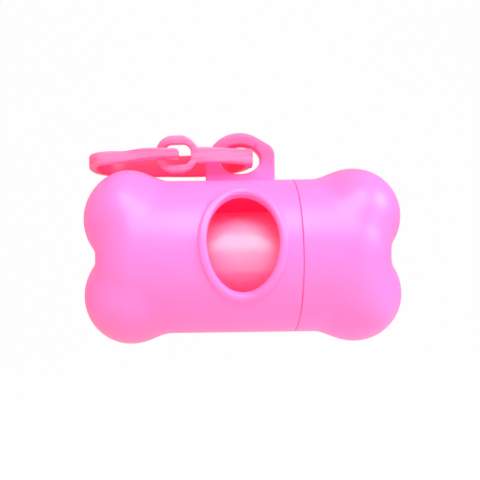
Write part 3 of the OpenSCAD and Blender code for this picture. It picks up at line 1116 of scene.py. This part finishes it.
class Nodes:
    """Short way to lay shader nodes in one node tree."""

    def __init__(self, tree: bpy.types.NodeTree) -> None:
        """Takes the tree to lay nodes in."""
        self.tree = tree

    def feed(self, socket: Socket, value: object) -> None:
        """Links a socket to the output that it is given, or sets its value."""
        if isinstance(value, Socket):
            self.tree.links.new(value, socket)
        else:
            socket.default_value = value

    def fill(self, node: bpy.types.Node, **inputs: object) -> None:
        """Feeds inputs of a node by name, with _ for a space."""
        for key, value in inputs.items():
            self.feed(node.inputs[key.replace("_", " ")], value)

    def add(
        self, kind: str, *values: object, settings: dict | None = None, **inputs: object
    ) -> bpy.types.Node:
        """Adds a node and feeds its inputs.

        Args:
            kind: Blender's name of the node type, without ShaderNode.
            values: what its first inputs are fed.
            settings: properties of the node.
            inputs: what inputs are fed by name, with _ for a space.

        Returns:
            The node.
        """
        node = self.tree.nodes.new("ShaderNode" + kind)
        for key, value in (settings or {}).items():
            setattr(node, key, value)
        for socket, value in zip(node.inputs, values):
            self.feed(socket, value)
        self.fill(node, **inputs)
        return node

    def group(self, effect: Effect, **inputs: object) -> bpy.types.NodeOutputs:
        """Adds a shared group, feeds its inputs by name and gives its outputs."""
        return self.add("Group", settings={"node_tree": bpy.data.node_groups[effect.value]}, **inputs).outputs

    def math(self, operation: str, *values: object) -> Socket:
        """Adds a sum of numbers and gives its output."""
        return self.add("Math", *values, settings={"operation": operation}).outputs[0]

    def place(self, **mapping: object) -> Socket:
        """Gives the place on the object in metres from the lug's eye, scaled or turned where asked."""
        place = self.add("TexCoord").outputs["Object"]
        return self.add("Mapping", Vector=place, **mapping).outputs["Vector"] if mapping else place

    def noise(self, place: Socket, scale: object, detail: float, rough: float, bent: float = 0.0) -> Socket:
        """Adds a noise of a size, with finer levels of a strength, bent out of shape where asked."""
        levels = {"Scale": scale, "Detail": detail, "Roughness": rough, "Distortion": bent}
        return self.add("TexNoise", Vector=place, **levels).outputs["Fac"]

    def mix(self, share: Socket, low: object, high: object) -> Socket:
        """Mixes two colours.

        Args:
            share: socket that is 0 for the first colour and 1 for the second.
            low: first colour, or its socket.
            high: second colour, or its socket.

        Returns:
            Socket of the mixed colour.
        """
        node = self.add("Mix", share, settings={"data_type": "RGBA"})
        for value, socket in zip((low, high), MIX_COLOURS):
            self.feed(node.inputs[socket], (*value, 1) if isinstance(value, tuple) else value)
        return node.outputs[2]

    def spread(self, value: Socket, low: object, high: object) -> Socket:
        """Spreads a value so that it runs from 0 to 1 between two levels."""
        return self.add("MapRange", Value=value, From_Min=low, From_Max=high).outputs["Result"]

    def bump(self, height: Socket, strength: float, distance: float) -> Socket:
        """Turns a height into a normal, at a strength and a depth in metres."""
        return self.add("Bump", Height=height, Strength=strength, Distance=distance).outputs["Normal"]


class Group(Nodes):
    """A shader group that is being laid, with number sockets."""

    def __init__(self, effect: Effect, inputs: dict[str, float], outputs: tuple[str, ...]) -> None:
        """Makes the group.

        Args:
            effect: which group.
            inputs: input names with their usual values.
            outputs: output names.
        """
        tree = bpy.data.node_groups.new(effect.value, "ShaderNodeTree")
        super().__init__(tree)
        for key, value in inputs.items():
            socket = tree.interface.new_socket(key, in_out="INPUT", socket_type="NodeSocketFloat")
            socket.default_value = value
        for key in outputs:
            tree.interface.new_socket(key, in_out="OUTPUT", socket_type="NodeSocketFloat")
        self.given = tree.nodes.new("NodeGroupInput").outputs
        self.result = tree.nodes.new("NodeGroupOutput")


def build_moulding() -> None:
    """Lays the group for soft mottle and fine grain of moulded plastic."""
    group = Group(Effect.MOULDING, {"Flow size": 60, "Grain size": 2200}, ("Mottle", "Grain"))
    place = group.place()
    group.fill(
        group.result,
        Mottle=group.noise(place, group.given["Flow size"], 2.0, 0.45, 0.3),
        Grain=group.noise(place, group.given["Grain size"], 3.0, 0.6),
    )


def build_handling() -> None:
    """Lays the group for faint scuffs where hands and pockets rub."""
    group = Group(Effect.HANDLING, {"Scuff size": 90, "Share": 0.4}, ("Scuffs",))
    place = group.place(Scale=(1.0, 2.4, 1.6), Rotation=(0.3, 0.5, 0.2))
    scuff = group.noise(place, group.given["Scuff size"], 6.0, 0.65)
    group.fill(group.result, Scuffs=group.spread(scuff, group.given["Share"], 0.8))


def build_streaks() -> None:
    """Lays the group for faint lengthwise streaks where the melt ran along a thin strip."""
    group = Group(Effect.STREAKS, {"Streak size": 900}, ("Streaks",))
    run = group.noise(group.place(Scale=(0.07, 0.3, 1.0)), group.given["Streak size"], 2.0, 0.5)
    group.fill(group.result, Streaks=group.spread(run, 0.42, 0.68))


def build_drift() -> None:
    """Lays the group for a tint that drifts along the object, in metres from the lug's eye."""
    usual = {"Along X": 0, "Along Y": 0, "Along Z": 1, "Start": 0, "End": 0.01}
    group = Group(Effect.DRIFT, usual, ("Share",))
    way = group.add("CombineXYZ", *(group.given[f"Along {axis}"] for axis in "XYZ")).outputs["Vector"]
    along = group.add("VectorMath", group.place(), way, settings={"operation": "DOT_PRODUCT"})
    share = group.add(
        "MapRange", settings={"interpolation_type": "SMOOTHSTEP"},
        Value=along.outputs["Value"], From_Min=group.given["Start"], From_Max=group.given["End"],
    )
    group.fill(group.result, Share=share.outputs["Result"])


def start_material(name: str) -> tuple[bpy.types.Material, Nodes, bpy.types.Node]:
    """Starts a material.

    Args:
        name: name of the material.

    Returns:
        The material, the way to lay nodes in it, and its Principled shader.
    """
    material = bpy.data.materials.new(name)
    material.use_nodes = True
    return material, Nodes(material.node_tree), material.node_tree.nodes["Principled BSDF"]


@dataclass(frozen=True)
class Drift:
    """Second tint that takes over along a direction, between two distances in metres from the lug's eye."""

    tint: Colour
    way: Triple
    span: Pair

    def over(self, lay: Nodes, below: Socket) -> Socket:
        """Lays the drift over a colour.

        Args:
            lay: the tree to lay nodes in.
            below: socket of the colour below.

        Returns:
            Socket of the drifted colour.
        """
        x, y, z = self.way
        start, end = self.span
        share = lay.group(Effect.DRIFT, Along_X=x, Along_Y=y, Along_Z=z, Start=start, End=end)["Share"]
        return lay.mix(share, below, self.tint)


@dataclass(frozen=True)
class SoftPlastic:
    """Soft satin plastic with a painted glow, a red emission that stands in for light in its shade, and tints
    that drift along the object: a deeper pink on the lug, and painted shade towards the shell's lower left
    lobes and on the ring's back band.
    """

    name: str
    tint: Colour
    deep_tint: Colour
    drifts: tuple[Drift, ...]
    painted_glow: Colour
    painted_glow_strength: float
    roughness: float = 0.36
    streak: float = 0.0
    mottle_span: Pair = (0.3, 0.7)
    flow_size: float = 55.0
    grain_size: float = 2400.0
    grain_strength: float = 0.05
    grain_depth: float = 0.0001
    scuff: float = 0.06
    scuff_share: float = 0.52

    def make(self) -> bpy.types.Material:
        """Makes the material."""
        material, lay, shader = start_material(self.name)
        mould = lay.group(Effect.MOULDING, Flow_size=self.flow_size, Grain_size=self.grain_size)
        scuffs = lay.group(Effect.HANDLING, Share=self.scuff_share)["Scuffs"]
        streaks = lay.group(Effect.STREAKS)["Streaks"]
        colour = lay.mix(lay.spread(mould["Mottle"], *self.mottle_span), self.deep_tint, self.tint)
        for drift in self.drifts:
            colour = drift.over(lay, colour)
        share = lay.math("MULTIPLY", streaks, self.streak)
        lay.fill(
            shader,
            Base_Color=lay.mix(share, colour, self.drifts[0].tint),
            Roughness=lay.math("MULTIPLY_ADD", scuffs, self.scuff, self.roughness),
            Normal=lay.bump(mould["Grain"], self.grain_strength, self.grain_depth),
            # Painted glow: a red emission keeps the shaded plastic red, standing in for light; the plastic is
            # no lamp.
            Emission_Color=(*self.painted_glow, 1),
            Emission_Strength=self.painted_glow_strength,
            Specular_IOR_Level=0.5,
        )
        material.diffuse_color = (*self.tint, 1)
        return material


@dataclass(frozen=True)
class BagFilm:
    """Thin film of the wound bags, with painted shade under the window's rim and towards the roll's bottom,
    and a painted red glow.
    """

    name: str = "bag_film"
    tint: Colour = (0.95, 0.42, 0.66)
    fold_tint: Colour = (0.93, 0.36, 0.58)
    fold_span: Pair = (0.25, 0.6)
    fold_stretch: Triple = (0.55, 1.0, 1.0)
    fold_size: float = 170.0
    fold_strength: float = 0.22
    fold_depth: float = 0.0002
    # Painted shade: a dark red drift towards the roll's bottom, below the lit band of the film.
    card_lap_and_film_low_shade: Drift = Drift((0.93, 0.09, 0.29), (0.0, -0.1, -1.0), (0.0307, 0.0325))
    shade_tint: Colour = (0.95, 0.17, 0.40)
    shade_reach: float = 0.012
    shade_rays: int = 8
    shade_span: Pair = (0.16, 0.78)
    shade_lean: Triple = (-0.35, 0.0, -0.75)
    roughness: float = 0.22
    mottle: float = 0.12
    flow_size: float = 120.0
    # Painted glow: a red emission that stands in for light in the film's shade.
    painted_glow: Colour = (1.0, 0.05, 0.12)
    painted_glow_strength: float = 0.25

    def make(self) -> bpy.types.Material:
        """Makes the material."""
        material, lay, shader = start_material(self.name)
        creases = lay.noise(lay.place(Scale=self.fold_stretch), self.fold_size, 3.0, 0.5)
        mottle = lay.group(Effect.MOULDING, Flow_size=self.flow_size)["Mottle"]
        colour = lay.mix(lay.spread(creases, *self.fold_span), self.fold_tint, self.tint)
        # Painted shade: the film deepens to dark red towards the roll's bottom.
        colour = self.card_lap_and_film_low_shade.over(lay, colour)
        lay.fill(
            shader,
            # Painted shade: ambient occlusion, leaned away from the window's upper right rim, darkens the
            # film towards shade_tint.
            Base_Color=lay.mix(self.painted_shade_mask(lay), self.shade_tint, colour),
            Roughness=lay.math("MULTIPLY_ADD", mottle, self.mottle, self.roughness),
            Normal=lay.bump(creases, self.fold_strength, self.fold_depth),
            # Painted glow: a red emission that lifts the film's shade, standing in for light.
            Emission_Color=(*self.painted_glow, 1),
            Emission_Strength=self.painted_glow_strength,
        )
        return material

    def painted_shade_mask(self, lay: Nodes) -> Socket:
        """Mask of painted shade: how open the film lies, looking a little away from the window's upper right
        rim.

        Args:
            lay: the tree to lay nodes in.

        Returns:
            Socket that is 0 deep under the rim and 1 in the open.
        """
        straight = lay.add("NewGeometry").outputs["Normal"]
        outlook = lay.add("VectorMath", straight, self.shade_lean, settings={"operation": "ADD"})
        outlook = lay.add("VectorMath", outlook.outputs["Vector"], settings={"operation": "NORMALIZE"})
        hidden = lay.add(
            "AmbientOcclusion", settings={"samples": self.shade_rays},
            Distance=self.shade_reach, Normal=outlook.outputs["Vector"],
        )
        return lay.spread(hidden.outputs["AO"], *self.shade_span)


@dataclass(frozen=True)
class CoreCard:
    """Grey-brown cardboard of the roll's core, with its spiral lap."""

    name: str = "core_card"
    tint: Colour = (0.52, 0.37, 0.22)
    fibre_tint: Colour = (0.38, 0.26, 0.15)
    fibre_size: float = 900.0
    lap_turn: Triple = (0.0, 0.6, 0.35)
    lap_size: float = 22.0
    lap_share: float = 0.3
    lap_bend: float = 0.6
    fibre_levels: Pair = (5.0, 0.7)
    grain_strength: float = 0.3
    grain_depth: float = 0.0002
    roughness: float = 0.85

    def make(self) -> bpy.types.Material:
        """Makes the material."""
        material, lay, shader = start_material(self.name)
        slant = lay.place(Rotation=self.lap_turn)
        card_lap_and_film_low_shade = lay.add("TexWave", Vector=slant, Scale=self.lap_size, Distortion=self.lap_bend).outputs["Fac"]
        fibre = lay.noise(lay.place(), self.fibre_size, *self.fibre_levels)
        lay.fill(
            shader,
            Base_Color=lay.mix(fibre, self.fibre_tint, self.tint),
            Normal=lay.bump(
                lay.math("MULTIPLY_ADD", card_lap_and_film_low_shade, self.lap_share, fibre), self.grain_strength, self.grain_depth
            ),
            Roughness=self.roughness,
        )
        return material


@dataclass(frozen=True)
class Lamp:
    """Square soft lamp that looks at the middle of the object."""

    name: str
    power: float
    size: float
    tint: Colour
    at: Triple
    aim: Triple = (0.0, 0.0, -0.026)

    def hang(self) -> None:
        """Hangs the lamp in the scene."""
        light = bpy.data.lights.new(self.name, "AREA")
        light.energy, light.size, light.color = self.power, self.size, self.tint
        holder = bpy.data.objects.new(self.name, light)
        holder.location = self.at
        x, y, z = np.array(self.aim) - self.at
        pitch = math.atan2(-z, math.hypot(x, y))
        holder.rotation_euler = (math.pi / 2 - pitch, 0, math.atan2(y, x) - math.pi / 2)
        bpy.context.scene.collection.objects.link(holder)


@dataclass(frozen=True)
class Stage:
    """White floor and backdrop, soft lamps and the camera. Lengths of the floor are in millimetres."""

    floor_z: float = -0.16
    floor_side: float = 2200.0
    floor_front: float = -1400.0
    floor_back: float = 900.0
    floor_bend: float = 400.0
    backdrop: float = 1500.0
    floor_steps: int = 13
    floor_crease: float = 60.0
    paper: float = 0.86
    paper_roughness: float = 0.9
    paper_white: float = 0.98
    lens: float = 33.75
    sensor: float = 36.0
    camera_at: Triple = (-0.00526, -0.12375, -0.02652)
    camera_roll: float = 0.014
    shift: float = 0.0375
    clip_start: float = 0.005
    dome: float = 0.35
    dome_tint: Colour = (1.0, 0.93, 0.82)

    def build(self) -> None:
        """Sets the stage."""
        self.build_world()
        self.build_floor()
        for lamp in LAMPS:
            lamp.hang()
        self.build_camera()
        bpy.context.scene.view_settings.view_transform = "Standard"

    def build_world(self) -> None:
        """Makes a soft dome that the camera sees as white."""
        world = bpy.data.worlds.new("studio")
        bpy.context.scene.world = world
        world.use_nodes = True
        world.node_tree.nodes.clear()
        lay = Nodes(world.node_tree)
        dome = lay.add("Background", Color=(*self.dome_tint, 1.0), Strength=self.dome)
        white = lay.add("Background", Color=(1.0, 1.0, 1.0, 1.0), Strength=1.0)
        mix = lay.add("MixShader", self.seen_rays(lay), dome.outputs[0], white.outputs[0])
        lay.add("OutputWorld", mix.outputs[0])

    @staticmethod
    def seen_rays(lay: Nodes) -> Socket:
        """Gives a socket that is 1 for camera and transmission rays, which see the background as white."""
        rays = lay.add("LightPath").outputs
        return lay.math("MAXIMUM", rays["Is Camera Ray"], rays["Is Transmission Ray"])

    def build_floor(self) -> None:
        """Makes the pale floor that curves up into the backdrop."""
        z0, back, bend = self.floor_z / METRE + EYE_HEIGHT, self.floor_back, self.floor_bend
        a = np.linspace(0, math.pi / 2, self.floor_steps)
        curve = [(self.floor_front, z0)]
        curve += [(back - bend + bend * math.sin(t), z0 + bend - bend * math.cos(t)) for t in a]
        curve.append((back, z0 + self.backdrop))
        grid = np.array([[(x, y, z) for x in (-self.floor_side, self.floor_side)] for y, z in curve])
        form = Form()
        form.add_grid(grid, closed_columns=False)
        floor = form.make_piece("studio_floor", self.floor_crease)
        material, lay, shader = start_material("studio_paper")
        lay.fill(shader, Base_Color=(self.paper, self.paper, self.paper, 1), Roughness=self.paper_roughness)
        white = lay.add("Emission", Color=(1.0, 1.0, 1.0, 1.0), Strength=1.0)
        share = lay.math("MULTIPLY", self.seen_rays(lay), self.paper_white)
        mix = lay.add("MixShader", share, shader.outputs[0], white.outputs[0])
        lay.feed(material.node_tree.nodes["Material Output"].inputs["Surface"], mix.outputs[0])
        floor.data.materials.append(material)
        floor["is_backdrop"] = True

    def build_camera(self) -> None:
        """Places the camera where the photograph was taken from."""
        lens = bpy.data.cameras.new("camera")
        lens.sensor_width, lens.lens = self.sensor, self.lens
        lens.shift_x, lens.shift_y = self.shift, self.shift
        lens.clip_start = self.clip_start
        camera = bpy.data.objects.new("camera", lens)
        camera.location = self.camera_at
        camera.rotation_euler = (math.pi / 2, self.camera_roll, 0)
        bpy.context.scene.collection.objects.link(camera)
        bpy.context.scene.camera = camera


LAMPS = (
    Lamp("key_lamp", 3.5, 0.42, (0.95, 0.97, 1.0), (0.03, -0.44, 0.50)),
    Lamp("side_lamp", 2.5, 0.30, (0.93, 0.96, 1.0), (0.54, -0.22, 0.32)),
    Lamp("fill_lamp", 0.5, 0.45, (1.0, 0.62, 0.40), (-0.44, -0.40, -0.06)),
)
SHELL_PLASTIC = SoftPlastic(
    name="pink_shell_plastic", tint=(0.92, 0.25, 0.76), deep_tint=(0.90, 0.23, 0.70),
    drifts=(
        # The first drift deepens the pink on the lug. The second drift is painted shade: a deeper hot pink
        # towards the lower left lobes, away from the lamps.
        Drift((0.93, 0.16, 0.44), (0.0, 0.0, 1.0), (-0.0075, 0.003)),
        Drift((0.92, 0.22, 0.57), (-0.2, 0.0, -1.0), (0.040, 0.056)),
    ),
    # Painted glow: a red emission that stands in for light in the shell's shade.
    painted_glow=(1.0, 0.006, 0.03), painted_glow_strength=0.45,
)
RING_PLASTIC = SoftPlastic(
    name="hot_pink_ring_plastic", tint=(0.95, 0.28, 0.58), deep_tint=(0.92, 0.21, 0.48),
    # Painted shade: the ring deepens to dark red towards its back band, as the shade behind the front arms.
    drifts=(Drift((0.90, 0.045, 0.15), (0.0, 1.0, 0.0), (-0.0045, 0.001)),),
    # Painted glow: a red emission that stands in for light in the ring's shade.
    painted_glow=(1.0, 0.01, 0.035), painted_glow_strength=0.45, roughness=0.33, streak=0.55,
)


def main() -> None:
    """Builds the dispenser's pieces, dresses them and sets the stage."""
    logging.basicConfig(level=logging.INFO, format="%(message)s")
    cad_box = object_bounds()
    for build in (build_moulding, build_handling, build_streaks, build_drift):
        build()
    shell_plastic = SHELL_PLASTIC.make()
    ring_plastic = RING_PLASTIC.make()
    film = BagFilm().make()
    card = CoreCard().make()

    Shells().dress(shell_plastic, cad_box)
    BagRoll().dress(film)
    SnapRing().dress(ring_plastic)

    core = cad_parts["roll_core"]
    core.data.materials.clear()
    core.data.materials.append(card)
    log.info("%s keeps its solid", core.name)

    Stage().build()


if __name__ == "__main__":
    main()
